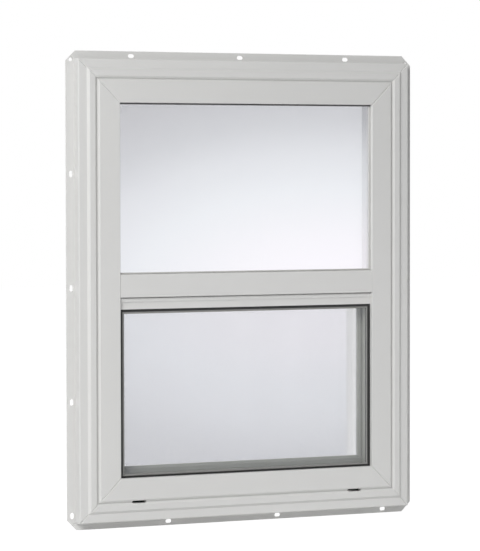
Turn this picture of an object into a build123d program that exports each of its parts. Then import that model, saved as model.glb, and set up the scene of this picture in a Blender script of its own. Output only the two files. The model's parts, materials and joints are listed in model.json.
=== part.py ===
from build123d import *
import os

# Single hung window with a nailing fin, in millimetres.
# X runs to the right as seen from outside, Y points into the building, Z is up.
# The origin lies on the back of the nailing fin, in the middle of the sill fin.

# Outside trim of the frame, measured without the fin.
FRAME_W = 597.0
FRAME_H = 749.0

# Nailing fin: how far it shows beyond the trim, and the body set in behind it.
JAMB_FIN_W = 14.0
HEAD_FIN_W = 13.0
SILL_FIN_W = 12.0
FIN_T = 2.0
FIN_CHAMFER = 16.3
BODY_INSET = 17.0

# Frame profile, counted inward from the edge of the trim.
LEDGE_W = 14.4
LEDGE_DROP = 4.0
LEDGE_ROUND = 2.0
BEVEL_RUN = 4.2
GROOVE_POS = 31.6
GROOVE_HALF = 4.0
GROOVE_DEPTH = 3.2
SIGHT_LINE = 70.6
RABBET_BITE = 20.0
TRACK_POCKET = 32.0
INNER_LEG = 20.0
EDGE_ROUND = 1.2

# Depths along Y, counted from the back of the fin.
FACE_SETBACK = 26.0
LIP_T = 8.0
TRACK_FRONT = 11.0
FRAME_BACK = 52.0
INNER_LEG_T = 6.5

# Fine V-shaped groove that the trimmed weld leaves along each mitre.
WELD_HALF = 1.2
WELD_DEPTH = 1.3

# Nail slots in the fin, on a line outside the trim, with round holes in the upper corners.
# The first and last of each row are placed from the trim's corners and the rest spread between.
NAIL_LINE = 5.5
SLOT_L = 10.7
SLOT_W = 6.4
CORNER_HOLE = 6.4
HEAD_NAIL_LEFT = 99.5
HEAD_NAIL_RIGHT = 109.5
SILL_NAIL_LEFT = 163.5
SILL_NAIL_RIGHT = 38.5
JAMB_NAIL_LOW = 11.5
JAMB_NAIL_HIGH = 1.5
LEVEL_NAILS = 3
JAMB_NAILS = 5

# Weep slots on the sill's groove.
WEEP_L = 25.4
WEEP_H = 4.2
WEEP_DEPTH = 14.0
WEEP_INSET = 103.0

# Insulating glass.
PANE_T = 3.0
AIR_GAP = 13.0
UPPER_GLASS_ROOM = 3.0
SASH_GLASS_ROOM = 2.0
SPACER_W = 7.0
SPACER_INSET = 1.5
SPACER_CORNER_GAP = 0.4

# Fixed meeting rail, heights counted from the frame's bottom edge.
RAIL_BOTTOM = 344.3
RAIL_FACE_H = 37.4
RAIL_STEP_LOW_H = 12.0
RAIL_STEP_HIGH_H = 7.6
RAIL_STEP_LOW_BACK = 1.7
RAIL_STEP_HIGH_BACK = 4.8
RAIL_QUIRK_H = 1.8
RAIL_QUIRK_DEPTH = 4.0
RAIL_BITE = 13.0

# Glazing beads inside the glass.
UPPER_BEAD_W = 10.0
BEAD_NOSE = 2.0
BEAD_HEEL = 4.0

# Lower sash.
SASH_MEMBER = 38.0
SASH_T = 32.0
SASH_SIDE_ROOM = 1.0
SASH_FACE_ROOM = 0.4
SASH_SEAT = 48.0
SASH_GLASS_TOP = 336.4
SASH_LEG = 6.0
SASH_BITE = 19.0
SASH_BEVEL = 4.0
SASH_BEAD_W = 10.0
SASH_ROUND = 1.5
LIFT_L = 340.0
LIFT_REACH = 9.0
LIFT_T = 3.0
LIFT_ROOT = 5.5
LIFT_ROUND = 1.0

# Insect half-screen in front of the sash: a box bar with a thin flange for the mesh.
SCREEN_BOX = 10.0
SCREEN_T = 8.0
SCREEN_FLANGE = 3.2
SCREEN_FLANGE_T = 2.0
SCREEN_FLANGE_BACK = 1.6
SCREEN_ROUND = 0.8
SCREEN_SIDE_COVER = 5.0
SCREEN_SILL_COVER = 7.2
SCREEN_TOP_COVER = 6.0
SCREEN_PLAY = 0.9
SCREEN_LIFT_ROOM = 7.5
SCREEN_ROOM = 0.3
MESH_T = 0.6
MESH_BAR = 2.0
MESH_COLUMNS = 12
MESH_ROWS = 7

# Interior hardware.
LOCK_L = 64.0
LOCK_W = 20.0
LOCK_H = 9.0
LOCK_ROUND = 3.0
LOCK_POST = 15.0
LOCK_POST_H = 2.0
LEVER_L = 34.0
LEVER_W = 12.0
LEVER_TIP = 7.0
LEVER_T = 4.0
KEEPER_L = 44.0
KEEPER_T = 3.5
KEEPER_H = 11.0
KEEPER_ROUND = 3.0
LATCH_L = 62.0
LATCH_W = 17.0
LATCH_H = 6.0
LATCH_INSET = 3.0
LATCH_GRIP_L = 20.0
LATCH_GRIP_W = 8.5
LATCH_GRIP_H = 2.5
LATCH_EDGE = 1.0
SEAL_H = 5.0
COVER_WALL = 2.0
COVER_ROOM = 0.3

# How far a cutter runs past the face that it opens.
CUT_OVERRUN = 1.0

# Derived positions.
FRAME_Z0 = SILL_FIN_W / 2
FRAME_Z1 = FRAME_Z0 + FRAME_H
MID_Z = FRAME_Z0 + FRAME_H / 2
FACE_Y = -FACE_SETBACK
LEDGE_Y = FACE_Y + LEDGE_DROP
LIP_Y = FACE_Y + LIP_T
BEVEL_END = LEDGE_W + BEVEL_RUN
RABBET = SIGHT_LINE - RABBET_BITE
TRACK = SIGHT_LINE - TRACK_POCKET
LEG = SIGHT_LINE - INNER_LEG
INNER_LEG_Y = FRAME_BACK - INNER_LEG_T
SIGHT_X = FRAME_W / 2 - SIGHT_LINE
RABBET_X = FRAME_W / 2 - RABBET
TRACK_X = FRAME_W / 2 - TRACK
SIGHT_Z0 = FRAME_Z0 + SIGHT_LINE
UNIT_T = 2 * PANE_T + AIR_GAP
BEAD_Y0 = LIP_Y + UNIT_T
RAIL_Z0 = FRAME_Z0 + RAIL_BOTTOM
RAIL_STEP_Z1 = RAIL_Z0 + RAIL_STEP_LOW_H
RAIL_STEP_Z2 = RAIL_STEP_Z1 + RAIL_STEP_HIGH_H
RAIL_Z1 = RAIL_STEP_Z2 + RAIL_FACE_H
RAIL_FLOOR = RAIL_Z1 - RAIL_BITE
RAIL_STEP_Y2 = FACE_Y + RAIL_STEP_HIGH_BACK
RAIL_STEP_Y1 = RAIL_STEP_Y2 + RAIL_STEP_LOW_BACK
SASH_Y0 = TRACK_FRONT + SASH_FACE_ROOM
SASH_Y1 = SASH_Y0 + SASH_T
SASH_GLASS_Y = SASH_Y0 + SASH_LEG
SASH_BEAD_Y = SASH_GLASS_Y + UNIT_T
SASH_RABBET = SASH_MEMBER - SASH_BITE
SASH_X = TRACK_X - SASH_SIDE_ROOM
SASH_Z0 = FRAME_Z0 + SASH_SEAT
SASH_Z1 = FRAME_Z0 + SASH_GLASS_TOP + SASH_MEMBER
SCREEN_Y1 = LIP_Y + SCREEN_T
SCREEN_MEMBER = SCREEN_BOX + SCREEN_FLANGE
STOP_Y0 = SCREEN_Y1 + SCREEN_ROOM
THROUGH = FACE_SETBACK + FRAME_BACK

# Sides of a ring of members, each running from one corner of the ring to the next.
SIDES = ("sill", "right", "head", "left")
PIECE_WORDS = {"sill": "bottom", "right": "right", "head": "top", "left": "left"}


def inset(r, by):
    """The rectangle x0, x1, z0, z1 moved inward on all four sides."""
    return (r[0] + by, r[1] - by, r[2] + by, r[3] - by)


def corners(r):
    """The four corners of a rectangle, in the order in which the sides start."""
    x0, x1, z0, z1 = r
    return ((x0, z0), (x1, z0), (x1, z1), (x0, z1))


def section(points, rounds=()):
    """Closed profile with the named corners rounded; each round is a corner and a radius."""
    face = make_face(Polyline(*points, close=True))
    for (a, b), radius in rounds:
        corner = face.vertices().sort_by_distance((a, b, 0))[0]
        face = fillet(corner, radius)
    return face


def through(outline):
    """A flat outline in X and Z, run right through the depth of the window."""
    return extrude(Plane.XZ * outline, amount=2 * THROUGH, both=True)


def member(profile, side, r, reach):
    """One mitred side of a rectangular ring; its profile runs inward from the outer edge."""
    k = SIDES.index(side)
    after = (k + 1) % len(SIDES)
    a, b = corners(r)[k], corners(r)[after]
    ai, bi = corners(inset(r, reach))[k], corners(inset(r, reach))[after]
    run = Vector(b[0] - a[0], 0, b[1] - a[1])
    inward = Vector(-run.Z, 0, run.X)
    plane = Plane(origin=(b[0], 0, b[1]), x_dir=inward, z_dir=-run)
    bar = extrude(plane * profile, amount=run.length)
    return bar & through(make_face(Polyline(a, b, bi, ai, close=True)))


def ring(profile, r, reach):
    """All four mitred sides of a rectangular ring."""
    return {side: member(profile, side, r, reach) for side in SIDES}


def weld_cuts(r, start, end, y, into):
    """V-shaped cutters along a ring's mitres, in a face at y; into is the side of its body."""
    cuts = []
    for a, b in zip(corners(inset(r, start)), corners(inset(r, end))):
        run = Vector(b[0] - a[0], 0, b[1] - a[1])
        plane = Plane(origin=(a[0], y, a[1]), x_dir=(run.Z, 0, -run.X), z_dir=run)
        tip = (0, into * WELD_DEPTH)
        wing = (2 * WELD_HALF, -into * WELD_DEPTH)
        vee = make_face(Polyline(tip, wing, (-wing[0], wing[1]), close=True))
        cuts.append(extrude(plane * vee, amount=run.length))
    return cuts


def block(x0, x1, y0, y1, z0, z1):
    """A plain bar between two corners, given in any order along X."""
    width = abs(x1 - x0)
    return Pos((x0 + x1) / 2, (y0 + y1) / 2, (z0 + z1) / 2) * Box(width, y1 - y0, z1 - z0)


def slot_cutter(outline, x, y, z, depth, upright=False):
    """Cutter along Y from a flat outline, standing upright or lying level."""
    turn = 90 if upright else 0
    placed = Plane.XZ * (Pos(x, z) * Rot(0, 0, turn) * outline)
    return Pos(0, y, 0) * extrude(placed, amount=depth, both=True)


def spread(first, last, count):
    """Evenly spread positions from the first to the last."""
    return [first + (last - first) * k / (count - 1) for k in range(count)]


def save(shape, name):
    """Writes one piece to its own file."""
    shape.label = name
    export_step(shape, f"parts/{name}.step")


os.makedirs("parts", exist_ok=True)

# Frame: one profile goes round all four sides and is mitred at the corners.
# It is run with the widest fin, and the fin is then trimmed to its outline with clipped corners.
FIN_W = max(JAMB_FIN_W, HEAD_FIN_W, SILL_FIN_W)
FRAME_RECT = (-FRAME_W / 2, FRAME_W / 2, FRAME_Z0, FRAME_Z1)
frame_points = [
    (-FIN_W, 0),
    (-FIN_W, -FIN_T),
    (0, -FIN_T),
    (0, LEDGE_Y),
    (LEDGE_W, LEDGE_Y),
    (BEVEL_END, FACE_Y),
    (GROOVE_POS - GROOVE_HALF, FACE_Y),
    (GROOVE_POS, FACE_Y + GROOVE_DEPTH),
    (GROOVE_POS + GROOVE_HALF, FACE_Y),
    (SIGHT_LINE, FACE_Y),
    (SIGHT_LINE, LIP_Y),
    (RABBET, LIP_Y),
    (RABBET, TRACK_FRONT),
    (TRACK, TRACK_FRONT),
    (TRACK, INNER_LEG_Y),
    (LEG, INNER_LEG_Y),
    (LEG, FRAME_BACK),
    (BODY_INSET, FRAME_BACK),
    (BODY_INSET, 0),
]
frame_rounds = [
    ((0, LEDGE_Y), LEDGE_ROUND),
    ((SIGHT_LINE, FACE_Y), EDGE_ROUND),
    ((LEG, FRAME_BACK), EDGE_ROUND),
]
frame_profile = Pos(FIN_W, 0) * section(frame_points, frame_rounds)
frame = ring(frame_profile, inset(FRAME_RECT, -FIN_W), SIGHT_LINE + FIN_W)

fin_plate = Rectangle(FRAME_W + 2 * JAMB_FIN_W, FRAME_H + HEAD_FIN_W + SILL_FIN_W)
fin_outline = chamfer(fin_plate.vertices(), FIN_CHAMFER)
fin_trim = through(Pos(0, MID_Z + (HEAD_FIN_W - SILL_FIN_W) / 2) * fin_outline)
frame = {side: bar & fin_trim for side, bar in frame.items()}

# Trimmed welds show as fine grooves along the mitres of face, ledge, fin and inside.
welds = weld_cuts(FRAME_RECT, LEDGE_W, SIGHT_LINE + WELD_HALF, FACE_Y, 1)
welds += weld_cuts(FRAME_RECT, -WELD_HALF, LEDGE_W, LEDGE_Y, 1)
welds += weld_cuts(FRAME_RECT, -FIN_W, 0, -FIN_T, 1)
welds += weld_cuts(FRAME_RECT, BODY_INSET - WELD_HALF, LEG + WELD_HALF, FRAME_BACK, -1)
frame = {side: bar - welds for side, bar in frame.items()}

# Nail slots follow one line round the fin.
NAIL_X = FRAME_W / 2 + NAIL_LINE
nail_slot = SlotOverall(SLOT_L, SLOT_W)
for x in spread(FRAME_RECT[0] + HEAD_NAIL_LEFT, FRAME_RECT[1] - HEAD_NAIL_RIGHT, LEVEL_NAILS):
    frame["head"] -= slot_cutter(nail_slot, x, 0, FRAME_Z1 + NAIL_LINE, 2 * FIN_T)
for x in spread(FRAME_RECT[0] + SILL_NAIL_LEFT, FRAME_RECT[1] - SILL_NAIL_RIGHT, LEVEL_NAILS):
    frame["sill"] -= slot_cutter(nail_slot, x, 0, FRAME_Z0 - NAIL_LINE, 2 * FIN_T)
jamb_nails = spread(FRAME_Z0 + JAMB_NAIL_LOW, FRAME_Z1 - JAMB_NAIL_HIGH, JAMB_NAILS)
for z in jamb_nails:
    hole = Circle(CORNER_HOLE / 2) if z == jamb_nails[-1] else nail_slot
    frame["left"] -= slot_cutter(hole, -NAIL_X, 0, z, 2 * FIN_T, upright=True)
    frame["right"] -= slot_cutter(hole, NAIL_X, 0, z, 2 * FIN_T, upright=True)

# Weep slots drain the sill through the groove on its face.
weep_slot = SlotOverall(WEEP_L, WEEP_H)
for x in (FRAME_RECT[0] + WEEP_INSET, FRAME_RECT[1] - WEEP_INSET):
    frame["sill"] -= slot_cutter(weep_slot, x, FACE_Y, FRAME_Z0 + GROOVE_POS, WEEP_DEPTH)

save(frame["head"], "frame_head")
save(frame["sill"], "frame_sill")
save(frame["left"], "frame_jamb_left")
save(frame["right"], "frame_jamb_right")

# Fixed meeting rail: its face stands flush with the jambs, and two steps under it cover
# the screen's top. A narrow quirk parts the face from the steps.
CHANNEL_TOP = RAIL_Z0 + SCREEN_TOP_COVER + SCREEN_LIFT_ROOM
rail_points = [
    (FACE_Y, RAIL_Z1),
    (LIP_Y, RAIL_Z1),
    (LIP_Y, RAIL_FLOOR),
    (TRACK_FRONT, RAIL_FLOOR),
    (TRACK_FRONT, RAIL_Z0),
    (STOP_Y0, RAIL_Z0),
    (STOP_Y0, CHANNEL_TOP),
    (LIP_Y, CHANNEL_TOP),
    (LIP_Y, RAIL_Z0),
    (RAIL_STEP_Y1, RAIL_Z0),
    (RAIL_STEP_Y1, RAIL_STEP_Z1),
    (RAIL_STEP_Y2, RAIL_STEP_Z1),
    (RAIL_STEP_Y2, RAIL_STEP_Z2 - RAIL_QUIRK_H),
    (RAIL_STEP_Y2 + RAIL_QUIRK_DEPTH, RAIL_STEP_Z2 - RAIL_QUIRK_H),
    (RAIL_STEP_Y2 + RAIL_QUIRK_DEPTH, RAIL_STEP_Z2),
    (FACE_Y, RAIL_STEP_Z2),
]
rail_rounds = [((FACE_Y, RAIL_Z1), EDGE_ROUND), ((FACE_Y, RAIL_STEP_Z2), EDGE_ROUND / 2)]
rail_section = Plane.YZ * section(rail_points, rail_rounds)
rail = Pos(-RABBET_X, 0, 0) * extrude(rail_section, amount=2 * RABBET_X)
for end in (-1, 1):
    past_end = end * (RABBET_X + CUT_OVERRUN)
    z0, z1 = RAIL_Z0 - CUT_OVERRUN, RAIL_Z1 + CUT_OVERRUN
    rail -= block(end * SIGHT_X, past_end, FACE_Y - CUT_OVERRUN, LIP_Y, z0, z1)
save(rail, "meeting_rail")


def glass_unit(r, y, name):
    """Two panes and the spacer bars between them, filling one rabbet."""
    x0, x1, z0, z1 = r
    ya, yb = y + PANE_T, y + PANE_T + AIR_GAP
    save(block(x0, x1, y, ya, z0, z1), f"{name}_outer_pane")
    save(block(x0, x1, yb, y + UNIT_T, z0, z1), f"{name}_inner_pane")
    x0, x1, z0, z1 = inset(r, SPACER_INSET)
    low = z0 + SPACER_W + SPACER_CORNER_GAP
    high = z1 - SPACER_W - SPACER_CORNER_GAP
    bars = [
        block(x0, x1, ya, yb, z0, z0 + SPACER_W),
        block(x0, x1, ya, yb, z1 - SPACER_W, z1),
        block(x0, x0 + SPACER_W, ya, yb, low, high),
        block(x1 - SPACER_W, x1, ya, yb, low, high),
    ]
    save(Compound(children=bars), f"{name}_spacer")


def bead_ring(r, width, y0, y1, name):
    """Four mitred glazing beads with a sloped inner face."""
    points = [(0, y0), (width, y0), (width, y0 + BEAD_NOSE), (BEAD_HEEL, y1), (0, y1)]
    for side, bar in ring(section(points), r, width).items():
        save(bar, f"{name}_{PIECE_WORDS[side]}")


# Upper glass is fixed: it bears on the frame's lip outside and on snap-in beads inside.
UPPER_RECT = (-RABBET_X, RABBET_X, RAIL_FLOOR, FRAME_Z1 - RABBET)
glass_unit(inset(UPPER_RECT, UPPER_GLASS_ROOM), LIP_Y, "upper_glass")
bead_ring(UPPER_RECT, UPPER_BEAD_W, BEAD_Y0, TRACK_FRONT, "upper_bead")

# Stops close the rabbet below the meeting rail; their feet carry and guide the screen.
SILL_FOOT = SIGHT_LINE - SCREEN_SILL_COVER
JAMB_FOOT = SIGHT_LINE - SCREEN_SIDE_COVER - SCREEN_PLAY


def stop_section(foot):
    """Stop profile, counted inward from the trim's edge: a low foot, an upright behind it."""
    points = [
        (RABBET, LIP_Y),
        (foot, LIP_Y),
        (foot, STOP_Y0),
        (SIGHT_LINE, STOP_Y0),
        (SIGHT_LINE, TRACK_FRONT),
        (RABBET, TRACK_FRONT),
    ]
    return section(points)


sill_end = Plane(origin=(RABBET_X, 0, FRAME_Z0), x_dir=(0, 0, 1), z_dir=(-1, 0, 0))
save(extrude(sill_end * stop_section(SILL_FOOT), amount=2 * RABBET_X), "sill_stop")
jamb_bar = Pos(FRAME_RECT[0], 0, SIGHT_Z0) * stop_section(JAMB_FOOT)
jamb_stop = extrude(jamb_bar, amount=RAIL_Z0 - SIGHT_Z0)
save(jamb_stop, "jamb_stop_left")
save(mirror(jamb_stop, Plane.YZ), "jamb_stop_right")

# Riser under the sash.
riser = block(-TRACK_X, TRACK_X, TRACK_FRONT, INNER_LEG_Y, FRAME_Z0 + TRACK, SASH_Z0)
save(riser, "sill_riser")

# Lower sash: four mitred members round their own glass.
SASH_RECT = (-SASH_X, SASH_X, SASH_Z0, SASH_Z1)
sash_points = [
    (0, SASH_Y0),
    (SASH_MEMBER - SASH_BEVEL, SASH_Y0),
    (SASH_MEMBER, SASH_Y0 + SASH_LEG / 2),
    (SASH_MEMBER, SASH_GLASS_Y),
    (SASH_RABBET, SASH_GLASS_Y),
    (SASH_RABBET, SASH_Y1),
    (0, SASH_Y1),
]
sash = ring(section(sash_points, [((0, SASH_Y1), SASH_ROUND)]), SASH_RECT, SASH_MEMBER)
sash_welds = weld_cuts(SASH_RECT, 0, SASH_RABBET + WELD_HALF, SASH_Y1, -1)
sash = {side: bar - sash_welds for side, bar in sash.items()}

# Finger lift: a tapered ledge along the inside of the bottom rail.
lift_z = SASH_Z0 + SASH_RABBET
lift_y = SASH_Y1 + LIFT_REACH
lift_points = [
    (SASH_Y1, lift_z),
    (SASH_Y1, lift_z - LIFT_ROOT),
    (lift_y, lift_z - LIFT_T),
    (lift_y, lift_z),
]
lift_rounds = [((lift_y, lift_z), LIFT_ROUND), ((lift_y, lift_z - LIFT_T), LIFT_ROUND)]
lift_section = Plane.YZ * section(lift_points, lift_rounds)
sash["sill"] += Pos(-LIFT_L / 2, 0, 0) * extrude(lift_section, amount=LIFT_L)
save(sash["head"], "sash_top_rail")
save(sash["sill"], "sash_bottom_rail")
save(sash["left"], "sash_stile_left")
save(sash["right"], "sash_stile_right")
SASH_GLASS_RECT = inset(SASH_RECT, SASH_RABBET)
glass_unit(inset(SASH_GLASS_RECT, SASH_GLASS_ROOM), SASH_GLASS_Y, "sash_glass")
bead_ring(SASH_GLASS_RECT, SASH_BEAD_W, SASH_BEAD_Y, SASH_Y1, "sash_bead")

# Insect half-screen, pushed to one side of its channel by its springs.
SCREEN_RECT = (
    -SIGHT_X - SCREEN_SIDE_COVER + SCREEN_PLAY,
    SIGHT_X + SCREEN_SIDE_COVER + SCREEN_PLAY,
    SIGHT_Z0 - SCREEN_SILL_COVER,
    RAIL_Z0 + SCREEN_TOP_COVER,
)
FLANGE_Y = LIP_Y + SCREEN_FLANGE_BACK
screen_points = [
    (0, LIP_Y),
    (SCREEN_BOX, LIP_Y),
    (SCREEN_BOX, FLANGE_Y),
    (SCREEN_MEMBER, FLANGE_Y),
    (SCREEN_MEMBER, FLANGE_Y + SCREEN_FLANGE_T),
    (SCREEN_BOX, FLANGE_Y + SCREEN_FLANGE_T),
    (SCREEN_BOX, SCREEN_Y1),
    (0, SCREEN_Y1),
]
screen_rounds = [((0, LIP_Y), SCREEN_ROUND), ((SCREEN_BOX, LIP_Y), SCREEN_ROUND)]
for side, bar in ring(section(screen_points, screen_rounds), SCREEN_RECT, SCREEN_MEMBER).items():
    save(bar, f"screen_frame_{PIECE_WORDS[side]}")

# The mesh is an open grid stretched between the flanges.
x0, x1, z0, z1 = inset(SCREEN_RECT, SCREEN_MEMBER)
mesh_pitch_x = (x1 - x0 - MESH_BAR) / MESH_COLUMNS
mesh_pitch_z = (z1 - z0 - MESH_BAR) / MESH_ROWS
mesh_cells = GridLocations(mesh_pitch_x, mesh_pitch_z, MESH_COLUMNS, MESH_ROWS)
mesh_hole = Rectangle(mesh_pitch_x - MESH_BAR, mesh_pitch_z - MESH_BAR)
mesh_sheet = Rectangle(x1 - x0, z1 - z0) - mesh_cells * mesh_hole
mesh_y = FLANGE_Y + SCREEN_FLANGE_T / 2
mesh_at = Plane.XZ * (Pos((x0 + x1) / 2, (z0 + z1) / 2) * mesh_sheet)
mesh = extrude(mesh_at, amount=MESH_T / 2, both=True)
save(Pos(0, mesh_y, 0) * mesh, "screen_mesh")

# Pile seal between the meeting rail and the sash.
SEAL_Z = (RAIL_Z0 + SASH_Z1) / 2
seal = block(-SIGHT_X, SIGHT_X, TRACK_FRONT, SASH_Y0, SEAL_Z - SEAL_H / 2, SEAL_Z + SEAL_H / 2)
save(seal, "meeting_rail_seal")

# Cam lock on the sash's top rail: a rounded housing, its pivot post and a tapered lever.
LOCK_Y = (SASH_Y0 + SASH_Y1) / 2
lock_at = Pos(0, LOCK_Y, SASH_Z1)
lock = extrude(lock_at * RectangleRounded(LOCK_L, LOCK_W, LOCK_ROUND), amount=LOCK_H)
lock = chamfer(lock.faces().sort_by(Axis.Z)[-1].edges(), LOCK_ROUND / 2)
post_z = SASH_Z1 + LOCK_H
lock += extrude(Pos(0, LOCK_Y, post_z) * Circle(LOCK_POST / 2), amount=LOCK_POST_H)
lever_ends = Circle(LEVER_W / 2).edges() + (Pos(LEVER_L, 0) * Circle(LEVER_TIP / 2)).edges()
lever = extrude(Pos(0, LOCK_Y, post_z + LOCK_POST_H) * make_hull(lever_ends), amount=LEVER_T)
lock += chamfer(lever.faces().sort_by(Axis.Z)[-1].edges(), LATCH_EDGE)
save(lock, "sash_lock")

# Keeper of the lock, a rounded plate on the back of the meeting rail.
keeper_at = Plane.XZ * Pos(0, SASH_Z1 + KEEPER_H / 2)
keeper = extrude(keeper_at * RectangleRounded(KEEPER_L, KEEPER_H, KEEPER_ROUND), amount=-KEEPER_T)
save(Pos(0, TRACK_FRONT, 0) * keeper, "lock_keeper")

# Tilt latches at both ends of the top rail.
for sign, word in ((-1, "left"), (1, "right")):
    x = sign * (SASH_X - LATCH_INSET - LATCH_L / 2)
    body_at = Pos(x, LOCK_Y, SASH_Z1)
    body = extrude(body_at * RectangleRounded(LATCH_L, LATCH_W, LOCK_ROUND), amount=LATCH_H)
    body = chamfer(body.faces().sort_by(Axis.Z)[-1].edges(), LATCH_EDGE)
    grip_at = Pos(x, LOCK_Y, SASH_Z1 + LATCH_H)
    grip = extrude(grip_at * SlotOverall(LATCH_GRIP_L, LATCH_GRIP_W), amount=LATCH_GRIP_H)
    save(body + chamfer(grip.faces().sort_by(Axis.Z)[-1].edges(), LATCH_EDGE), f"tilt_latch_{word}")

# Covers close the jamb tracks above the sash.
COVER_Z0 = SASH_Z1 + LOCK_H + LATCH_H
COVER_Z1 = FRAME_Z1 - TRACK
COVER_Y0 = TRACK_FRONT + COVER_ROOM
COVER_Y1 = INNER_LEG_Y - COVER_ROOM
for sign, word in ((-1, "left"), (1, "right")):
    shell = block(sign * TRACK_X, sign * RABBET_X, COVER_Y0, COVER_Y1, COVER_Z0, COVER_Z1)
    back = sign * (TRACK_X + CUT_OVERRUN)
    front = sign * (RABBET_X + COVER_WALL)
    z0, z1 = COVER_Z0 - CUT_OVERRUN, COVER_Z1 + CUT_OVERRUN
    shell -= block(back, front, COVER_Y0 + COVER_WALL, COVER_Y1 - COVER_WALL, z0, z1)
    save(shell, f"track_cover_{word}")
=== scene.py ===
"""Looks for a single hung vinyl window: finishes, fine pieces, studio and camera."""

import json
import logging
import math
from dataclasses import dataclass
from enum import Enum
from typing import Iterable, Mapping, Sequence, Union

import bmesh
import bpy
from mathutils import Matrix, Quaternion, Vector

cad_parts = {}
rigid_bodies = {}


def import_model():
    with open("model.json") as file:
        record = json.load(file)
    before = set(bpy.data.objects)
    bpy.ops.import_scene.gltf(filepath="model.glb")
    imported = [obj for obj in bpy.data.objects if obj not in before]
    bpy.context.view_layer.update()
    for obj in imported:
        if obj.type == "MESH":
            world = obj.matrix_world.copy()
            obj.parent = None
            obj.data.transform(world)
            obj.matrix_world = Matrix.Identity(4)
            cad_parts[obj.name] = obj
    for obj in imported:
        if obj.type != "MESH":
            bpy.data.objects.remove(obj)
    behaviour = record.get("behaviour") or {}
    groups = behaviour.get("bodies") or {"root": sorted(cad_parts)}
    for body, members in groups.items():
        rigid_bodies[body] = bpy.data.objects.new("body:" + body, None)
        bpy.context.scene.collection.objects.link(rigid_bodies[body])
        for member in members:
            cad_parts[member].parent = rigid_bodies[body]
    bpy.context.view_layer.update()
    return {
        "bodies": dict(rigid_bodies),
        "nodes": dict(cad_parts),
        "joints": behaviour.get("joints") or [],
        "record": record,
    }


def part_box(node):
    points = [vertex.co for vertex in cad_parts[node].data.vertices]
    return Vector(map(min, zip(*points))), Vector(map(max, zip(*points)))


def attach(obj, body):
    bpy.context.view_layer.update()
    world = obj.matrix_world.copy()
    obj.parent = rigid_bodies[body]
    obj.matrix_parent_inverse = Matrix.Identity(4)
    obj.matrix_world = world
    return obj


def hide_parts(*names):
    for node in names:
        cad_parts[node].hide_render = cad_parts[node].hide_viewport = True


logging.basicConfig(level=logging.INFO, format="%(message)s")
LOG = logging.getLogger("window")

Colour = tuple[float, float, float]
Point = tuple[float, float, float]
Number = Union[int, float]

MM = 0.001
BODY = "root"
TINY = 1e-6
WHITE: Colour = (1.0, 1.0, 1.0)
UP = Vector((0.0, 0.0, 1.0))
INWARD = Vector((0.0, 1.0, 0.0))
RIGHTWARD = Vector((1.0, 0.0, 0.0))

# Brightness of the glow card from the middle of its glow outward.
GLOW_STOPS: tuple[tuple[float, Colour], ...] = (
    (0.0, (1.04, 1.00, 1.06)),
    (0.25, (0.94, 0.92, 0.97)),
    (0.48, (0.75, 0.79, 0.83)),
    (0.65, (0.56, 0.59, 0.63)),
    (0.80, (0.30, 0.32, 0.36)),
    (0.92, (0.19, 0.20, 0.24)),
    (1.0, (0.12, 0.13, 0.16)),
)


class Slot(Enum):
    """Names of material slots in the part's record."""

    SCREEN = "screen_frame_black"
    MESH = "screen_mesh"
    PILE = "pile_seal"
    HARDWARE = "white_hardware"


class Run(Enum):
    """The way an extruded bar runs; its die lines follow it."""

    LEVEL = (4.0, 420.0, 420.0)
    UPRIGHT = (420.0, 420.0, 4.0)


class Side(Enum):
    """Left and right as seen from outside."""

    LEFT = -1
    RIGHT = 1


class Wire:
    """One shader value; arithmetic on it adds Math nodes."""

    def __init__(self, graph: "Graph", socket: bpy.types.NodeSocket) -> None:
        """Keeps the node graph and the output socket.

        Args:
            graph: the graph that the socket belongs to.
            socket: an output socket of one of its nodes.
        """
        self.graph = graph
        self.socket = socket

    def _math(self, operation: str, first: "Operand", second: "Operand") -> "Wire":
        """Adds one Math node.

        Args:
            operation: the Math node's operation.
            first: the value of its first socket.
            second: the value of its second socket.

        Returns:
            The node's result.
        """
        node = self.graph.node(
            "ShaderNodeMath", {"operation": operation}, {0: first, 1: second}
        )
        return self.graph.out(node)

    def __add__(self, other: "Operand") -> "Wire":
        """The sum."""
        return self._math("ADD", self, other)

    def __radd__(self, other: "Operand") -> "Wire":
        """The sum, from the right."""
        return self._math("ADD", other, self)

    def __sub__(self, other: "Operand") -> "Wire":
        """The difference."""
        return self._math("SUBTRACT", self, other)

    def __rsub__(self, other: "Operand") -> "Wire":
        """The difference, from the right."""
        return self._math("SUBTRACT", other, self)

    def __mul__(self, other: "Operand") -> "Wire":
        """The product."""
        return self._math("MULTIPLY", self, other)

    def __truediv__(self, other: "Operand") -> "Wire":
        """The quotient."""
        return self._math("DIVIDE", self, other)

    def __pow__(self, other: "Operand") -> "Wire":
        """The power."""
        return self._math("POWER", self, other)

    def __gt__(self, other: "Operand") -> "Wire":
        """One where this value is the greater, else zero."""
        return self._math("GREATER_THAN", self, other)

    def __lt__(self, other: "Operand") -> "Wire":
        """One where this value is the smaller, else zero."""
        return self._math("LESS_THAN", self, other)

    def most(self, other: "Operand") -> "Wire":
        """The greater of the two."""
        return self._math("MAXIMUM", self, other)

    def least(self, other: "Operand") -> "Wire":
        """The smaller of the two."""
        return self._math("MINIMUM", self, other)

    def repeat(self, period: float) -> "Wire":
        """The value wrapped into one period, from 0 to 1."""
        return self._math("FRACT", self / period, 0.0)


Operand = Union[Wire, Number]
Setting = Union[str, bool, Number, Sequence[tuple[float, Colour]]]
SocketValue = Union[Wire, Number, Sequence[float], bpy.types.NodeSocket]


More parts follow.
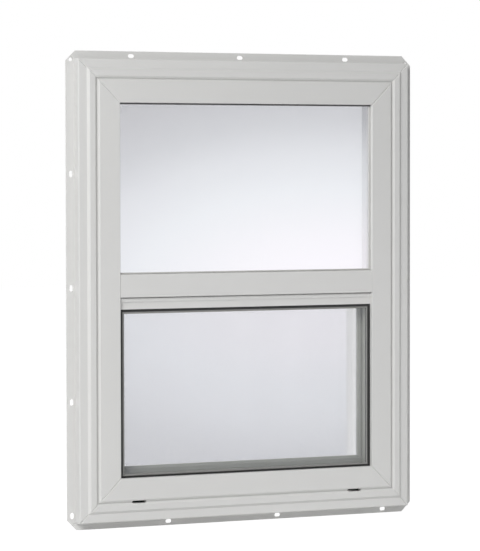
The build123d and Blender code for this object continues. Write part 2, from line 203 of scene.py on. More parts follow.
class Graph:
    """A node tree that is written from code."""

    def __init__(self, tree: bpy.types.NodeTree) -> None:
        """Takes a tree and empties it."""
        self.tree = tree
        tree.nodes.clear()

    def node(
        self,
        kind: str,
        settings: Mapping[str, Setting] | None = None,
        sockets: Mapping[Union[str, int], SocketValue] | None = None,
    ) -> bpy.types.Node:
        """Adds one node.

        Args:
            kind: the node's type.
            settings: its properties, set first; "stops" fills a colour ramp.
            sockets: a value or a link for each input, by name or number.

        Returns:
            The new node.
        """
        made = self.tree.nodes.new(kind)
        for name, value in (settings or {}).items():
            if name == "stops":
                self._stops(made.color_ramp, value)
            else:
                setattr(made, name, value)
        for key, value in (sockets or {}).items():
            target = made.inputs[key]
            if isinstance(value, Wire):
                self.tree.links.new(value.socket, target)
            elif isinstance(value, bpy.types.NodeSocket):
                self.tree.links.new(value, target)
            elif target.type == "RGBA" and len(value) == 3:
                target.default_value = (*value, 1.0)
            else:
                target.default_value = value
        return made

    @staticmethod
    def _stops(ramp: bpy.types.ColorRamp, stops: Sequence[tuple[float, Colour]]) -> None:
        """Fills a colour ramp.

        Args:
            ramp: the ramp of a new node, which has two stops.
            stops: position and colour of each stop, two at least.
        """
        while len(ramp.elements) < len(stops):
            ramp.elements.new(1.0)
        for element, (at, colour) in zip(ramp.elements, stops):
            element.position = at
            element.color = (*colour, 1.0)

    def out(self, node: bpy.types.Node, key: Union[str, int] = 0) -> Wire:
        """One output of a node as a value."""
        return Wire(self, node.outputs[key])

    def place(self) -> Wire:
        """The point on the object, in metres of the shared frame."""
        return self.out(self.node("ShaderNodeTexCoord"), "Object")

    def axis(self, vector: Wire, name: str) -> Wire:
        """One coordinate of a vector: X, Y or Z."""
        split = self.node("ShaderNodeSeparateXYZ", sockets={0: vector})
        return self.out(split, name)

    def stretch(self, vector: Wire, scale: Point) -> Wire:
        """The vector with each coordinate scaled."""
        node = self.node(
            "ShaderNodeVectorMath", {"operation": "MULTIPLY"}, {0: vector, 1: scale}
        )
        return self.out(node)

    def noise(self, vector: Wire, scale: float, detail: float = 2.0) -> Wire:
        """Soft noise from 0 to 1.

        Args:
            vector: where it is read.
            scale: waves per metre of the vector.
            detail: octaves.

        Returns:
            The noise value.
        """
        node = self.node(
            "ShaderNodeTexNoise",
            sockets={"Vector": vector, "Scale": scale, "Detail": detail},
        )
        return self.out(node, "Fac")

    def mix(self, share: Operand, low: SocketValue, high: SocketValue) -> Wire:
        """A colour between two.

        Args:
            share: 0 gives the first, 1 the second.
            low: the first colour.
            high: the second colour.

        Returns:
            The mixed colour.
        """
        node = self.node(
            "ShaderNodeMix",
            {"data_type": "RGBA"},
            {"Factor": share, 6: low, 7: high},
        )
        return self.out(node, 2)

    def bump(self, height: Wire, strength: float, distance: float) -> Wire:
        """A normal raised by a height value.

        Args:
            height: the height, from 0 to 1.
            strength: the bump's share.
            distance: how far 1 stands up, in metres.

        Returns:
            The normal.
        """
        node = self.node(
            "ShaderNodeBump",
            sockets={"Height": height, "Strength": strength, "Distance": distance},
        )
        return self.out(node, "Normal")

    def surface(self, shader: bpy.types.Node) -> None:
        """Sends a shader to the material's output."""
        self.node("ShaderNodeOutputMaterial", sockets={"Surface": shader.outputs[0]})


def new_material(name: str) -> tuple[bpy.types.Material, Graph]:
    """A material with an empty node tree.

    Args:
        name: the material's name.

    Returns:
        The material and its graph.
    """
    material = bpy.data.materials.new(name)
    material.use_nodes = True
    return material, Graph(material.node_tree)


@dataclass(frozen=True)
class VinylFinish:
    """White extruded vinyl: faint die lines along the bar, soft mottling, satin sheen.

    A given share of patchy grey-olive painted shade darkens what lies in front of a given depth and
    under a given height, standing for the shade behind the insect screen.
    A given share of painted shade darkens the bottom of the face's groove into a grey line,
    standing for the shade that falls in the groove.
    """

    run: Run
    light: Colour = (0.712, 0.710, 0.697)
    dark: Colour = (0.682, 0.680, 0.668)
    cloud_share: float = 0.7
    lines_share: float = 0.3
    rough: float = 0.40
    rough_lines: float = 0.10
    rough_cloud: float = 0.08
    ior: float = 1.5
    sheen_waves: float = 7.0
    peel_waves: float = 900.0
    bump_share: float = 0.12
    bump_height: float = 0.06 * MM
    painted_shade: float = 0.0
    painted_shade_patches: float = 0.2
    painted_shade_colour: Colour = (0.245, 0.26, 0.19)
    painted_shade_back: float = 17.0 * MM
    painted_shade_top: float = 350.0 * MM
    painted_groove_shade: float = 0.0
    painted_groove_shade_colour: Colour = (0.30, 0.30, 0.285)
    groove_at: float = 31.6 * MM
    groove_half: float = 1.9 * MM
    groove_back: float = -22.5 * MM
    trim_half: Point = (298.5 * MM, 0.0, 374.5 * MM)
    trim_middle: Point = (0.0, 0.0, 380.5 * MM)

    def groove_bottom(self, g: Graph, place: Wire) -> Wire:
        """The mask of the groove's painted shade: one along the bottom of the face's groove, fading
        to nought up its sides.

        Args:
            g: the graph to work in.
            place: the place on the surface.

        Returns:
            The share of the groove's bottom.
        """
        name, i = ("Z", 2) if self.run is Run.LEVEL else ("X", 0)
        along = g.axis(place, name) - self.trim_middle[i]
        inset = self.trim_half[i] - along.most(along * -1.0)
        off = inset - self.groove_at
        near = 1.0 - off.most(off * -1.0) / self.groove_half
        return near.most(0.0) * (g.axis(place, "Y") < self.groove_back)

    def material(self) -> bpy.types.Material:
        """The finish as a material."""
        made, g = new_material(f"vinyl_{self.run.name.lower()}")
        place = g.place()
        lines = g.noise(g.stretch(place, self.run.value), 1.0, 3.0)
        cloud = g.noise(place, self.sheen_waves, 2.0)
        peel = g.noise(place, self.peel_waves, 1.0)
        share = cloud * self.cloud_share + lines * self.lines_share
        colour = g.mix(share, self.dark, self.light)
        # painted shade: the stops and the sash's outside face behind the screen are darkened in
        # colour
        if self.painted_shade > 0.0:
            shaded_zone = (g.axis(place, "Y") < self.painted_shade_back) * (g.axis(place, "Z") < self.painted_shade_top)
            shade_share = shaded_zone * (self.painted_shade + (cloud - 0.5) * self.painted_shade_patches)
            colour = g.mix(shade_share, colour, self.painted_shade_colour)
        # painted shade: a grey line along the groove's bottom stands for the shade in the groove
        if self.painted_groove_shade > 0.0:
            groove_shade_share = self.groove_bottom(g, place) * self.painted_groove_shade
            colour = g.mix(groove_shade_share, colour, self.painted_groove_shade_colour)
        rough = self.rough + (lines - 0.5) * self.rough_lines + (cloud - 0.5) * self.rough_cloud
        height = lines * 0.5 + peel * 0.5
        shader = g.node(
            "ShaderNodeBsdfPrincipled",
            sockets={
                "Base Color": colour,
                "Roughness": rough,
                "IOR": self.ior,
                "Normal": g.bump(height, self.bump_share, self.bump_height),
            },
        )
        g.surface(shader)
        return made


@dataclass(frozen=True)
class GlassFinish:
    """Coated window glass: a thin neutral metal film that reflects and lets light through.

    Where thinned is above nought, the film loses that share of itself right of thin_from.
    """

    name: str
    film: float
    thinned: float = 0.0
    thin_from: float = 201.0 * MM
    thin_run: float = 5.0 * MM
    tint: Colour = (0.95, 0.96, 0.98)
    other_tint: Colour = (0.97, 0.95, 1.0)
    waves: float = 3.0
    film_change: float = 0.012
    edge_blend: float = 0.25
    edge_share: float = 0.5
    rough: float = 0.05
    rough_change: float = 0.01

    def material(self) -> bpy.types.Material:
        """The finish as a material."""
        made, g = new_material(self.name)
        place = g.place()
        wave = g.noise(place, self.waves, 1.0)
        weight = g.node("ShaderNodeLayerWeight", sockets={"Blend": self.edge_blend})
        edge = g.out(weight, "Fresnel")
        film = self.film + wave * self.film_change + edge * self.film * self.edge_share
        if self.thinned > 0.0:
            side = (g.axis(place, "X") - self.thin_from) / self.thin_run
            film = film * (1.0 - side.most(0.0).least(1.0) * self.thinned)
        shader = g.node(
            "ShaderNodeBsdfPrincipled",
            sockets={
                "Base Color": g.mix(wave, self.tint, self.other_tint),
                "Metallic": 1.0,
                "Roughness": self.rough + wave * self.rough_change,
                "Alpha": film,
            },
        )
        g.surface(shader)
        return made


@dataclass(frozen=True)
class SpacerFinish:
    """Mill aluminium spacer bar with rows of small breather holes."""

    light: Colour = (0.84, 0.84, 0.84)
    dark: Colour = (0.74, 0.74, 0.75)
    brushing: Point = (60.0, 900.0, 60.0)
    pitch: float = 3.0 * MM
    hole_size: float = 0.02
    hole_share: float = 0.6
    hole_colour: Colour = (0.05, 0.05, 0.05)
    metallic: float = 0.30
    rough: float = 0.34
    rough_change: float = 0.18
    bump_share: float = 0.15
    bump_height: float = 0.05 * MM

    def material(self) -> bpy.types.Material:
        """The finish as a material."""
        made, g = new_material("spacer_bar")
        place = g.place()
        brushed = g.noise(g.stretch(place, self.brushing), 1.0, 2.0)
        hole_x = (g.axis(place, "X").repeat(self.pitch) - 0.5) ** 2.0
        hole_z = (g.axis(place, "Z").repeat(self.pitch) - 0.5) ** 2.0
        holes = (hole_x + hole_z) < self.hole_size
        metal = g.mix(brushed, self.dark, self.light)
        shader = g.node(
            "ShaderNodeBsdfPrincipled",
            sockets={
                "Base Color": g.mix(holes * self.hole_share, metal, self.hole_colour),
                "Metallic": self.metallic - holes * self.metallic,
                "Roughness": self.rough + brushed * self.rough_change,
                "Normal": g.bump(brushed, self.bump_share, self.bump_height),
            },
        )
        g.surface(shader)
        return made


@dataclass(frozen=True)
class PaintFinish:
    """Baked paint on roll-formed metal: even, with a fine peel and rubbed patches."""

    name: str
    light: Colour
    dark: Colour
    rough: float = 0.42
    rough_change: float = 0.16
    patch_waves: float = 22.0
    peel_waves: float = 700.0
    bump_share: float = 0.10
    bump_height: float = 0.05 * MM

    def material(self) -> bpy.types.Material:
        """The finish as a material."""
        made, g = new_material(self.name)
        place = g.place()
        cloud = g.noise(place, self.patch_waves, 3.0)
        peel = g.noise(place, self.peel_waves, 2.0)
        shader = g.node(
            "ShaderNodeBsdfPrincipled",
            sockets={
                "Base Color": g.mix(cloud, self.dark, self.light),
                "Roughness": self.rough + (cloud - 0.5) * self.rough_change,
                "Normal": g.bump(peel, self.bump_share, self.bump_height),
            },
        )
        g.surface(shader)
        return made


@dataclass(frozen=True)
class PileFinish:
    """Grey woven pile: upright fibres in darker and lighter rows."""

    light: Colour = (0.34, 0.34, 0.33)
    dark: Colour = (0.12, 0.12, 0.12)
    fibre_waves: Point = (2600.0, 2600.0, 180.0)
    rough: float = 0.9
    rough_change: float = 0.1
    bump_share: float = 0.8
    bump_height: float = 0.2 * MM

    def material(self) -> bpy.types.Material:
        """The finish as a material."""
        made, g = new_material("pile")
        fibres = g.noise(g.stretch(g.place(), self.fibre_waves), 1.0, 2.0)
        shader = g.node(
            "ShaderNodeBsdfPrincipled",
            sockets={
                "Base Color": g.mix(fibres, self.dark, self.light),
                "Roughness": self.rough + (fibres - 0.5) * self.rough_change,
                "Normal": g.bump(fibres, self.bump_share, self.bump_height),
            },
        )
        g.surface(shader)
        return made


@dataclass(frozen=True)
class RubberFinish:
    """Soft gasket rubber, dull, with a bloom of lighter patches; above a given height its colour is
    a painted shadow.
    """

    name: str
    light: Colour
    dark: Colour
    painted_shadow_colour: Colour = (0.12, 0.12, 0.12)
    painted_shadow_above: float = 1.0
    bloom_waves: float = 60.0
    grain_waves: float = 1500.0
    rough: float = 0.62
    rough_change: float = 0.2
    bump_share: float = 0.2
    bump_height: float = 0.05 * MM

    def material(self) -> bpy.types.Material:
        """The finish as a material."""
        made, g = new_material(self.name)
        place = g.place()
        bloom = g.noise(place, self.bloom_waves, 3.0)
        grain = g.noise(place, self.grain_waves, 1.0)
        clean = g.mix(bloom, self.dark, self.light)
        # above the given height the base colour is a painted shadow
        shader = g.node(
            "ShaderNodeBsdfPrincipled",
            sockets={
                "Base Color": g.mix(g.axis(place, "Z") > self.painted_shadow_above, clean, self.painted_shadow_colour),
                "Roughness": self.rough + (bloom - 0.5) * self.rough_change,
                "Normal": g.bump(grain, self.bump_share, self.bump_height),
            },
        )
        g.surface(shader)
        return made


def new_piece(
    name: str,
    mesh: bpy.types.Mesh,
    material: bpy.types.Material,
    stands_for: Iterable[str] = (),
) -> None:
    """Puts a new piece in the scene, on the part's body.

    Args:
        name: the piece's name.
        mesh: its mesh, in metres of the shared frame.
        material: its finish.
        stands_for: the solids that it replaces.
    """
    piece = bpy.data.objects.new(name, mesh)
    bpy.context.scene.collection.objects.link(piece)
    mesh.materials.append(material)
    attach(piece, BODY)
    for node in stands_for:
        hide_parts(node)
    LOG.info("piece %s: %d faces", name, len(mesh.polygons))


def mesh_of(name: str, points: Sequence[Point], faces: Sequence[Sequence[int]]) -> bpy.types.Mesh:
    """A mesh with its faces turned outward.

    Args:
        name: the mesh's name.
        points: its vertices.
        faces: vertex numbers of each face.

    Returns:
        The mesh.
    """
    mesh = bpy.data.meshes.new(name)
    mesh.from_pydata(list(points), [], [tuple(f) for f in faces])
    shape = bmesh.new()
    shape.from_mesh(mesh)
    bmesh.ops.recalc_face_normals(shape, faces=shape.faces)
    shape.to_mesh(mesh)
    shape.free()
    return mesh


@dataclass(frozen=True)
class Opening:
    """An upright rectangle, in metres."""

    left: float
    right: float
    bottom: float
    top: float

    def inset(self, by: float) -> "Opening":
        """The rectangle moved inward on all sides."""
        return Opening(self.left + by, self.right - by, self.bottom + by, self.top - by)

    def corners(self) -> list[tuple[float, float]]:
        """The four corners, once round from the lower left."""
        return [
            (self.left, self.bottom),
            (self.right, self.bottom),
            (self.right, self.top),
            (self.left, self.top),
        ]


def ring_mesh(
    name: str, opening: Opening, profile: Sequence[tuple[float, float]]
) -> bpy.types.Mesh:
    """A closed profile swept round a rectangle, mitred at the corners.

    Args:
        name: the mesh's name.
        opening: the rectangle that the profile is counted from.
        profile: inset and depth of each point, in order round the profile.

    Returns:
        The mesh.
    """
    points: list[Point] = []
    for k in range(4):
        for inset, depth in profile:
            x, z = opening.inset(inset).corners()[k]
            points.append((x, depth, z))
    count = len(profile)
    faces = []
    for k in range(4):
        here, there = k * count, (k + 1) % 4 * count
        for i in range(count):
            j = (i + 1) % count
            faces.append((here + i, here + j, there + j, there + i))
    return mesh_of(name, points, faces)


def half_round(width: float, base: float, rise: float, steps: int = 8) -> list[tuple[float, float]]:
    """A rounded bead profile that lies on a plane.

    Args:
        width: the bead's width, counted inward.
        base: the depth of the plane.
        rise: how far the bead stands out; negative is towards the outside.
        steps: segments of the arc.

    Returns:
        Inset and depth of each point.
    """
    arc = []
    for i in range(steps + 1):
        turn = math.pi * i / steps
        arc.append((width / 2 - width / 2 * math.cos(turn), base + rise * math.sin(turn)))
    return arc


def dress(frame: dict, names: Iterable[str], material: bpy.types.Material) -> None:
    """Gives solids of the frame a finish.

    Args:
        names: the solids' names.
        material: the finish.
    """
    for name in names:
        solid = frame["nodes"][name]
        if not solid.material_slots:
            solid.data.materials.append(material)
        for place in solid.material_slots:
            place.material = material
        LOG.info("dressed %s", name)


@dataclass
class WeldedFrame:
    """The outer frame with its sill drains."""

    level_bars: tuple[str, ...] = ("frame_head", "frame_sill", "sill_riser")
    upright_bars: tuple[str, ...] = (
        "frame_jamb_left",
        "frame_jamb_right",
        "track_cover_left",
        "track_cover_right",
    )
    level_stops: tuple[str, ...] = ("sill_stop",)
    upright_stops: tuple[str, ...] = ("jamb_stop_left", "jamb_stop_right")
    # share of painted shade on the stops behind the screen
    stop_painted_shade: float = 0.71
    # share of painted shade along the bottom of the face's groove
    painted_groove_shade: float = 0.42
    trim_width: float = 597.0 * MM
    drain_inset: float = 103.0 * MM
    drain_height: float = 37.6 * MM
    drain_length: float = 25.4 * MM
    drain_width: float = 4.2 * MM
    flap_depth: float = -13.6 * MM
    flap_thick: float = 0.8 * MM
    arc_steps: int = 8

    def dress(self, frame: dict) -> None:
        """Gives the bars their vinyl.
        """
        # the face's groove on these bars gets a painted shade line
        dress(frame, self.level_bars, VinylFinish(Run.LEVEL, painted_groove_shade=self.painted_groove_shade).material())
        dress(frame, self.upright_bars, VinylFinish(Run.UPRIGHT, painted_groove_shade=self.painted_groove_shade).material())
        # the stops behind the screen get painted shade in their colour
        level = VinylFinish(Run.LEVEL, painted_shade=self.stop_painted_shade)
        dress(frame, self.level_stops, level.material())
        upright = VinylFinish(Run.UPRIGHT, painted_shade=self.stop_painted_shade)
        dress(frame, self.upright_stops, upright.material())

    def drain_flaps(self) -> None:
        """Hangs a rubber flap inside each weep slot; its near-black colour is partly the flap's own
        and partly painted shade for the slot's dark depth.
        """
        # near-black: partly the flap's own colour, partly painted shade for the slot's depth
        flap_rubber_and_shade = RubberFinish("drain_flap_rubber_and_shade", (0.020, 0.020, 0.020), (0.008, 0.008, 0.008))
        finish = flap_rubber_and_shade.material()
        half_width = self.trim_width / 2
        for side in Side:
            x = side.value * (half_width - self.drain_inset)
            half, drop = self.drain_length / 2 - self.drain_width / 2, self.drain_width / 2
            outline = []
            for end in (1, -1):
                for i in range(self.arc_steps + 1):
                    turn = end * math.pi / 2 - end * math.pi * i / self.arc_steps
                    outline.append((
                        x + end * (half + drop * math.cos(turn)),
                        self.drain_height + drop * math.sin(turn) * end,
                    ))
            mesh = self._plate(f"drain_flap_{side.name.lower()}", outline)
            new_piece(mesh.name, mesh, finish)

    def _plate(self, name: str, outline: Sequence[tuple[float, float]]) -> bpy.types.Mesh:
        """A thin upright plate.

        Args:
            name: the mesh's name.
            outline: x and z round the plate.

        Returns:
            The mesh.
        """
        count = len(outline)
        front, back = self.flap_depth, self.flap_depth + self.flap_thick
        points = [(x, front, z) for x, z in outline] + [(x, back, z) for x, z in outline]
        faces: list[Sequence[int]] = [range(count), range(count, 2 * count)]
        for i in range(count):
            j = (i + 1) % count
            faces.append((i, j, count + j, count + i))
        return mesh_of(name, points, faces)


@dataclass
class UpperGlazing:
    """The fixed upper glass, its beads and gasket, and the meeting rail under it."""

    level_bars: tuple[str, ...] = ("meeting_rail", "upper_bead_top", "upper_bead_bottom")
    upright_bars: tuple[str, ...] = ("upper_bead_left", "upper_bead_right")
    outer_pane: str = "upper_glass_outer_pane"
    inner_pane: str = "upper_glass_inner_pane"
    outer_film: float = 0.31
    inner_film: float = 0.02
    opening: Opening = Opening(-227.9 * MM, 227.9 * MM, 407.3 * MM, 684.4 * MM)
    lip_back: float = -18.0 * MM
    gasket_show: float = 2.6 * MM
    gasket_rise: float = -1.6 * MM

    def dress(self, frame: dict) -> None:
        """Gives the glass, spacer and beads their finishes.
        """
        dress(frame, self.level_bars, VinylFinish(Run.LEVEL).material())
        dress(frame, self.upright_bars, VinylFinish(Run.UPRIGHT).material())
        outer = GlassFinish("upper_outer_glass", self.outer_film)
        dress(frame, (self.outer_pane,), outer.material())
        inner = GlassFinish("upper_inner_glass", self.inner_film)
        dress(frame, (self.inner_pane,), inner.material())
        dress(frame, ("upper_glass_spacer",), SpacerFinish().material())

    def gasket(self) -> None:
        """Lays the thin grey gasket line between lip and glass; its top run is darkened as a
        painted shadow under the head lip.
        """
        # the gasket's top run gets a painted shadow for the shade under the head lip
        painted_shadow_above = self.opening.top - self.gasket_show
        finish = RubberFinish(
            "glazing_gasket", (0.60, 0.60, 0.58), (0.54, 0.54, 0.52), painted_shadow_above=painted_shadow_above
        )
        profile = half_round(self.gasket_show, self.lip_back, self.gasket_rise)
        mesh = ring_mesh("upper_gasket", self.opening, profile)
        new_piece(mesh.name, mesh, finish.material())


@dataclass
class LowerSash:
    """The sliding sash with its own glass."""

    level_bars: tuple[str, ...] = (
        "sash_top_rail",
        "sash_bottom_rail",
        "sash_bead_top",
        "sash_bead_bottom",
    )
    upright_bars: tuple[str, ...] = (
        "sash_stile_left",
        "sash_stile_right",
        "sash_bead_left",
        "sash_bead_right",
    )
    outer_pane: str = "sash_glass_outer_pane"
    inner_pane: str = "sash_glass_inner_pane"
    outer_film: float = 0.29
    outer_thinned: float = 0.6
    inner_film: float = 0.02
    # share of painted shade on the sash's outside face behind the screen
    painted_shade: float = 0.71

    def dress(self, frame: dict) -> None:
        """Gives the sash its finishes.
        """
        # the sash's outside face behind the screen gets painted shade in its colour
        dress(frame, self.level_bars, VinylFinish(Run.LEVEL, painted_shade=self.painted_shade).material())
        dress(frame, self.upright_bars, VinylFinish(Run.UPRIGHT, painted_shade=self.painted_shade).material())
        outer = GlassFinish("sash_outer_glass", self.outer_film, self.outer_thinned)
        dress(frame, (self.outer_pane,), outer.material())
        inner = GlassFinish("sash_inner_glass", self.inner_film)
        dress(frame, (self.inner_pane,), inner.material())
        dress(frame, ("sash_glass_spacer",), SpacerFinish().material())
        dress(frame, ("meeting_rail_seal",), PileFinish().material())


@dataclass
class InsectScreen:
    """The half-screen: painted bars and a cloth of real strands."""

    bars: tuple[str, ...] = (
        "screen_frame_top",
        "screen_frame_bottom",
        "screen_frame_left",
        "screen_frame_right",
    )
    bar_box: float = 10.0 * MM
    flange: float = 3.2 * MM
    flange_back: float = 1.6 * MM
    spline_rise: float = -1.3 * MM
    strand: float = 0.16 * MM
    warp_pitch: float = 1.50 * MM
    fill_pitch: float = 1.60 * MM
    weave_offset: float = 0.6

    def dress(self, frame: dict) -> None:
        """Paints the bars.
        """
        paint = PaintFinish("screen_paint", (0.016, 0.016, 0.015), (0.009, 0.009, 0.009))
        dress(frame, self.bars, paint.material())

    def spline(self) -> None:
        """Presses the pale spline cord that holds the cloth into the bars' flange."""
        low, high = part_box("screen_frame_bottom")
        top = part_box("screen_frame_top")[1].z
        rim = Opening(low.x, high.x, low.z, top).inset(self.bar_box)
        profile = half_round(self.flange, low.y + self.flange_back, self.spline_rise)
        mesh = ring_mesh("screen_spline", rim, profile)
        finish = RubberFinish("spline_cord", (0.30, 0.30, 0.29), (0.22, 0.22, 0.21))
        new_piece(mesh.name, mesh, finish.material())

    def cloth(self) -> None:
        """Lays the upright and level strands in place of the plain sheet."""
        low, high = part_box("screen_mesh")
        middle = (low.y + high.y) / 2
        offset = self.strand / 2 * self.weave_offset
        points: list[Point] = []
        faces: list[Sequence[int]] = []
        for x in self._stations(low.x, high.x, self.warp_pitch):
            y = middle - offset
            self._strand(points, faces, Vector((x, y, low.z)), Vector((x, y, high.z)))
        for z in self._stations(low.z, high.z, self.fill_pitch):
            y = middle + offset
            self._strand(points, faces, Vector((low.x, y, z)), Vector((high.x, y, z)))
        mesh = bpy.data.meshes.new("screen_cloth")
        mesh.from_pydata(points, [], faces)
        finish = PaintFinish("screen_strands", (0.48, 0.49, 0.55), (0.40, 0.41, 0.46), 0.5)
        new_piece(mesh.name, mesh, finish.material(), ("screen_mesh",))

    @staticmethod
    def _stations(start: float, end: float, pitch: float) -> list[float]:
        """Even stations inside a span.

        Args:
            start: where the span starts.
            end: where it ends.
            pitch: the wanted spacing.

        Returns:
            The place of each strand.
        """
        count = max(1, round((end - start) / pitch))
        step = (end - start) / count
        return [start + (i + 0.5) * step for i in range(count)]

    def _strand(
        self, points: list[Point], faces: list[Sequence[int]], start: Vector, end: Vector
    ) -> None:
        """Adds one square strand with closed ends.

        Args:
            points: the vertices so far.
            faces: the faces so far.
            start: the middle of its first end.
            end: the middle of its last end.
        """
        half = self.strand / 2
        along = (end - start).normalized()
        across = along.cross(INWARD)
        first = len(points)
        for centre in (start, end):
            for a, b in ((-1, -1), (1, -1), (1, 1), (-1, 1)):
                points.append(tuple(centre + across * a * half + INWARD * b * half))
        for i in range(4):
            j = (i + 1) % 4
            faces.append((first + i, first + j, first + 4 + j, first + 4 + i))
        faces.append((first + 3, first + 2, first + 1, first))
        faces.append((first + 4, first + 5, first + 6, first + 7))


@dataclass
class Hardware:
    """The lock, its keeper and the tilt latches, inside."""

    pieces: tuple[str, ...] = ("sash_lock", "lock_keeper", "tilt_latch_left", "tilt_latch_right")
    lock_height: float = 9.0 * MM
    lock_screw_reach: float = 24.0 * MM
    keeper_screw_reach: float = 15.0 * MM
    screw_radius: float = 3.4 * MM
    screw_rise: float = 1.3 * MM
    recess_length: float = 1.7 * MM
    recess_width: float = 0.45 * MM
    recess_floor: float = 0.3
    # Share of the reach, share of the rise, and whether the ring follows the cross recess.
    screw_rings: tuple[tuple[float, float, bool], ...] = (
        (1.0, 0.0, False),
        (1.0, 0.4, False),
        (0.8, 0.85, False),
        (1.0, 1.0, True),
        (0.75, recess_floor, True),
    )

    def dress(self, frame: dict) -> None:
        """Gives the hardware its white enamel.
        """
        enamel = PaintFinish("white_enamel", (0.74, 0.74, 0.72), (0.69, 0.69, 0.68), 0.30)
        dress(frame, self.pieces, enamel.material())

    def screws(self) -> None:
        """Sets two cross-recess screws in the lock and two in its keeper."""
        finish = PaintFinish("screw_head", (0.62, 0.62, 0.61), (0.50, 0.50, 0.50), 0.28).material()
        low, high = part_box("sash_lock")
        on_lock = Vector((0.0, (low.y + high.y) / 2, low.z + self.lock_height))
        low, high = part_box("lock_keeper")
        on_keeper = Vector((0.0, high.y, (low.z + high.z) / 2))
        for side in Side:
            word, along = side.name.lower(), RIGHTWARD * side.value
            for host, seat, axis, reach in (
                ("lock", on_lock, UP, self.lock_screw_reach),
                ("keeper", on_keeper, INWARD, self.keeper_screw_reach),
            ):
                mesh = self._screw(f"{host}_screw_{word}", seat + along * reach, axis)
                new_piece(mesh.name, mesh, finish)

    def _screw(self, name: str, seat: Vector, axis: Vector, steps: int = 96) -> bpy.types.Mesh:
        """A low domed screw head with a cross recess.

        Args:
            name: the mesh's name.
            seat: the middle of its underside.
            axis: the way that it faces.
            steps: points round each ring.

        Returns:
            The mesh.
        """
        first, second = RIGHTWARD, axis.cross(RIGHTWARD)
        points: list[Point] = []
        for share, height, crossed in self.screw_rings:
            for i in range(steps):
                turn = 2 * math.pi * i / steps
                reach = share * (self._recess(turn) if crossed else self.screw_radius)
                place = first * (reach * math.cos(turn)) + second * (reach * math.sin(turn))
                points.append(tuple(seat + place + axis * (self.screw_rise * height)))
        rings = len(self.screw_rings)
        points.append(tuple(seat + axis * (self.screw_rise * self.recess_floor)))
        faces: list[Sequence[int]] = [range(steps)]
        for i in range(steps):
            j = (i + 1) % steps
            for ring in range(rings - 1):
                here, there = ring * steps, (ring + 1) * steps
                faces.append((here + i, here + j, there + j, there + i))
            faces.append(((rings - 1) * steps + i, (rings - 1) * steps + j, rings * steps))
        return mesh_of(name, points, faces)

    def _recess(self, turn: float) -> float:
        """How far the cross recess reaches in one direction.

        Args:
            turn: the direction, in radians.

        Returns:
            The distance from the screw's middle.
        """
        c, s = max(abs(math.cos(turn)), TINY), max(abs(math.sin(turn)), TINY)
        level = min(self.recess_length / c, self.recess_width / s)
        upright = min(self.recess_width / c, self.recess_length / s)
        return max(level, upright)


def square(half: float, height: float = 0.0) -> list[Point]:
    """The corners of a level square round the origin."""
    return [
        (-half, -half, height),
        (half, -half, height),
        (half, half, height),
        (-half, half, height),
    ]


def sheet(
    name: str, corners: Sequence[Point], material: bpy.types.Material
) -> bpy.types.Object:
    """A four-cornered sheet in the scene.

    Args:
        name: the sheet's name.
        corners: its corners, once round.
        material: its finish.

    Returns:
        The sheet.
    """
    mesh = bpy.data.meshes.new(name)
    mesh.from_pydata(list(corners), [], [tuple(range(len(corners)))])
    made = bpy.data.objects.new(name, mesh)
    bpy.context.scene.collection.objects.link(made)
    mesh.materials.append(material)
    return made


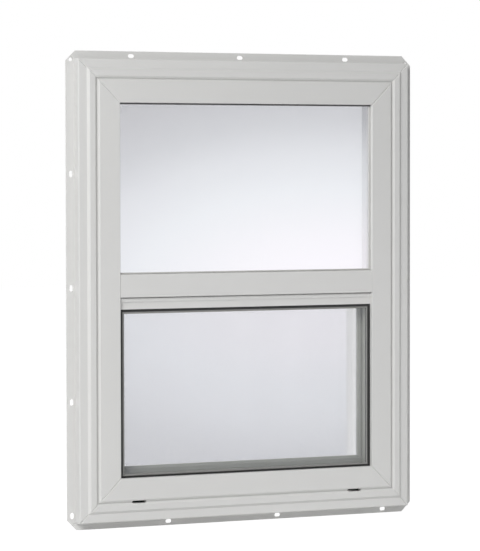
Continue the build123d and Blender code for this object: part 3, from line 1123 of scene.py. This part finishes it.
@dataclass
class Studio:
    """White floor and backdrop, soft light, and the camera."""

    image_height: int = 551
    focal_pixels: float = 2791.32
    sensor: float = 36.0
    eye: Point = (-1.9236, -4.1990, 0.5713)
    target: Point = (-0.00449, 0.0, 0.40118)
    roll_degrees: float = -0.094
    clip_end: float = 60.0
    floor_height: float = -6.3 * MM
    floor_half: float = 9.0
    floor_colour: Colour = (0.94, 0.94, 0.94)
    floor_glow: float = 1.13
    floor_glow_share: float = 0.86
    glow_on_glass: Point = (0.150, -18.0 * MM, 0.372)
    glow_reach: float = 0.60
    glow_half: float = 0.45
    glow_width: float = 0.627
    glow_height: float = 0.338
    glow_end: float = 1.2
    sky: float = 0.26
    key_power: float = 134.0
    key_size: float = 2.0
    key_at: Point = (-3.0, -2.8, 2.5)
    key_aim: Point = (0.0, 0.0, 0.38)
    back_power: float = 42.0
    back_at: Point = (-1.6, 2.9, 0.9)
    low_power: float = 0.55
    low_at: Point = (0.55, -1.8, 0.05)
    low_aim: Point = (0.15, 0.0, -0.35)
    low_spread: float = 40.0
    card_x: float = -0.27
    card_y: tuple[float, float] = (0.14, 0.46)
    card_z: tuple[float, float] = (0.10, 0.82)
    card_light: float = 2.8

    def seen_directly(self, g: Graph) -> Wire:
        """One for rays that show the background, zero for rays that light the object.

        Args:
            g: the graph to work in.

        Returns:
            The share of the plain white background.
        """
        path = g.node("ShaderNodeLightPath")
        direct = g.out(path, "Is Camera Ray").most(g.out(path, "Is Glossy Ray"))
        return direct.most(g.out(path, "Is Transmission Ray"))

    def world(self) -> None:
        """White where it is seen, a plain grey where it gives light."""
        world = bpy.data.worlds.new("studio")
        bpy.context.scene.world = world
        world.use_nodes = True
        g = Graph(world.node_tree)
        soft = g.node("ShaderNodeBackground", sockets={"Color": WHITE, "Strength": self.sky})
        white = g.node("ShaderNodeBackground", sockets={"Color": WHITE, "Strength": 1.0})
        both = g.node(
            "ShaderNodeMixShader",
            sockets={0: self.seen_directly(g), 1: soft.outputs[0], 2: white.outputs[0]},
        )
        g.node("ShaderNodeOutputWorld", sockets={"Surface": both.outputs[0]})

    def floor(self) -> None:
        """A pale floor that keeps the object's shadow."""
        material, g = new_material("floor_white")
        pale = g.node("ShaderNodeBsdfDiffuse", sockets={"Color": self.floor_colour})
        white = g.node("ShaderNodeEmission", sockets={"Color": WHITE, "Strength": self.floor_glow})
        share = self.seen_directly(g) * self.floor_glow_share
        both = g.node(
            "ShaderNodeMixShader", sockets={0: share, 1: pale.outputs[0], 2: white.outputs[0]}
        )
        g.surface(both)
        floor = sheet("floor", square(self.floor_half, self.floor_height), material)

    def glow_card(self) -> None:
        """A card in front of the glass whose soft round glow shows in its reflection."""
        eye, on_glass = Vector(self.eye), Vector(self.glow_on_glass)
        mirrored_eye = Vector((eye.x, 2 * on_glass.y - eye.y, eye.z))
        ray = (on_glass - mirrored_eye).normalized()
        turn = (-ray).to_track_quat("Z", "Y").to_matrix().to_4x4()
        material, g = new_material("glow_card")
        place = g.place()
        across = g.axis(place, "X") / self.glow_width
        up = g.axis(place, "Y") / self.glow_height
        far = (across * across + up * up) ** 0.5
        glow = g.node("ShaderNodeValToRGB", {"stops": GLOW_STOPS}, {0: far / self.glow_end})
        light = g.node("ShaderNodeEmission", sockets={"Color": glow.outputs[0], "Strength": 1.0})
        g.surface(light)
        card = sheet("glow_card", square(self.glow_half), material)
        card.matrix_world = Matrix.Translation(on_glass + ray * self.glow_reach) @ turn
        card.visible_camera = False
        card.visible_diffuse = False
        card.visible_transmission = False
        card.visible_shadow = False

    def inside_card(self) -> None:
        """A card behind the glass that lights the right side of the opening."""
        x, (front, back), (low, high) = self.card_x, self.card_y, self.card_z
        corners = [(x, front, low), (x, back, low), (x, back, high), (x, front, high)]
        material, g = new_material("inside_card")
        light = g.node("ShaderNodeEmission", sockets={"Color": WHITE, "Strength": self.card_light})
        g.surface(light)
        card = sheet("inside_card", corners, material)
        card.visible_camera = False
        card.visible_glossy = False
        card.visible_transmission = False
        card.visible_shadow = False

    def lamp(
        self, name: str, power: float, size: float, at: Point, aim: Point, spread: float = 180.0
    ) -> None:
        """Hangs one soft square lamp.

        Args:
            name: the lamp's name.
            power: its power in watts.
            size: its side.
            at: where it hangs.
            aim: the point that it faces.
            spread: the angle that its light fills, in degrees.
        """
        data = bpy.data.lights.new(name, "AREA")
        data.energy = power
        data.size = size
        data.spread = math.radians(spread)
        lamp = bpy.data.objects.new(name, data)
        bpy.context.scene.collection.objects.link(lamp)
        lamp.location = at
        lamp.rotation_mode = "QUATERNION"
        lamp.rotation_quaternion = (Vector(aim) - Vector(at)).to_track_quat("-Z", "Y")
        lamp.visible_glossy = False

    def lamps(self) -> None:
        """A large lamp high on the left in front, a weak one low in front, one behind."""
        self.lamp("key", self.key_power, self.key_size, self.key_at, self.key_aim)
        self.lamp(
            "low", self.low_power, self.key_size / 2, self.low_at, self.low_aim, self.low_spread
        )
        self.lamp("inside", self.back_power, self.key_size, self.back_at, self.key_aim)

    def camera(self) -> None:
        """The camera at the photograph's place."""
        data = bpy.data.cameras.new("camera")
        data.sensor_width = self.sensor
        data.lens = self.sensor * self.focal_pixels / self.image_height
        data.clip_end = self.clip_end
        camera = bpy.data.objects.new("camera", data)
        bpy.context.scene.collection.objects.link(camera)
        forward = (Vector(self.target) - Vector(self.eye)).normalized()
        level = forward.to_track_quat("-Z", "Y")
        camera.location = self.eye
        camera.rotation_mode = "QUATERNION"
        camera.rotation_quaternion = Quaternion(forward, math.radians(-self.roll_degrees)) @ level
        bpy.context.scene.camera = camera

    def build(self) -> None:
        """Sets up the whole studio."""
        bpy.context.scene.view_settings.view_transform = "Standard"
        self.world()
        self.floor()
        self.glow_card()
        self.inside_card()
        self.lamps()
        self.camera()
        LOG.info("studio ready")


def main() -> None:
    """Builds the dressed window in its studio."""
    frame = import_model()
    Studio().build()
    welded = WeldedFrame()
    welded.dress(frame)
    welded.drain_flaps()
    upper = UpperGlazing()
    upper.dress(frame)
    upper.gasket()
    LowerSash().dress(frame)
    screen = InsectScreen()
    screen.dress(frame)
    screen.spline()
    screen.cloth()
    hardware = Hardware()
    hardware.dress(frame)
    hardware.screws()


if __name__ == "__main__":
    main()
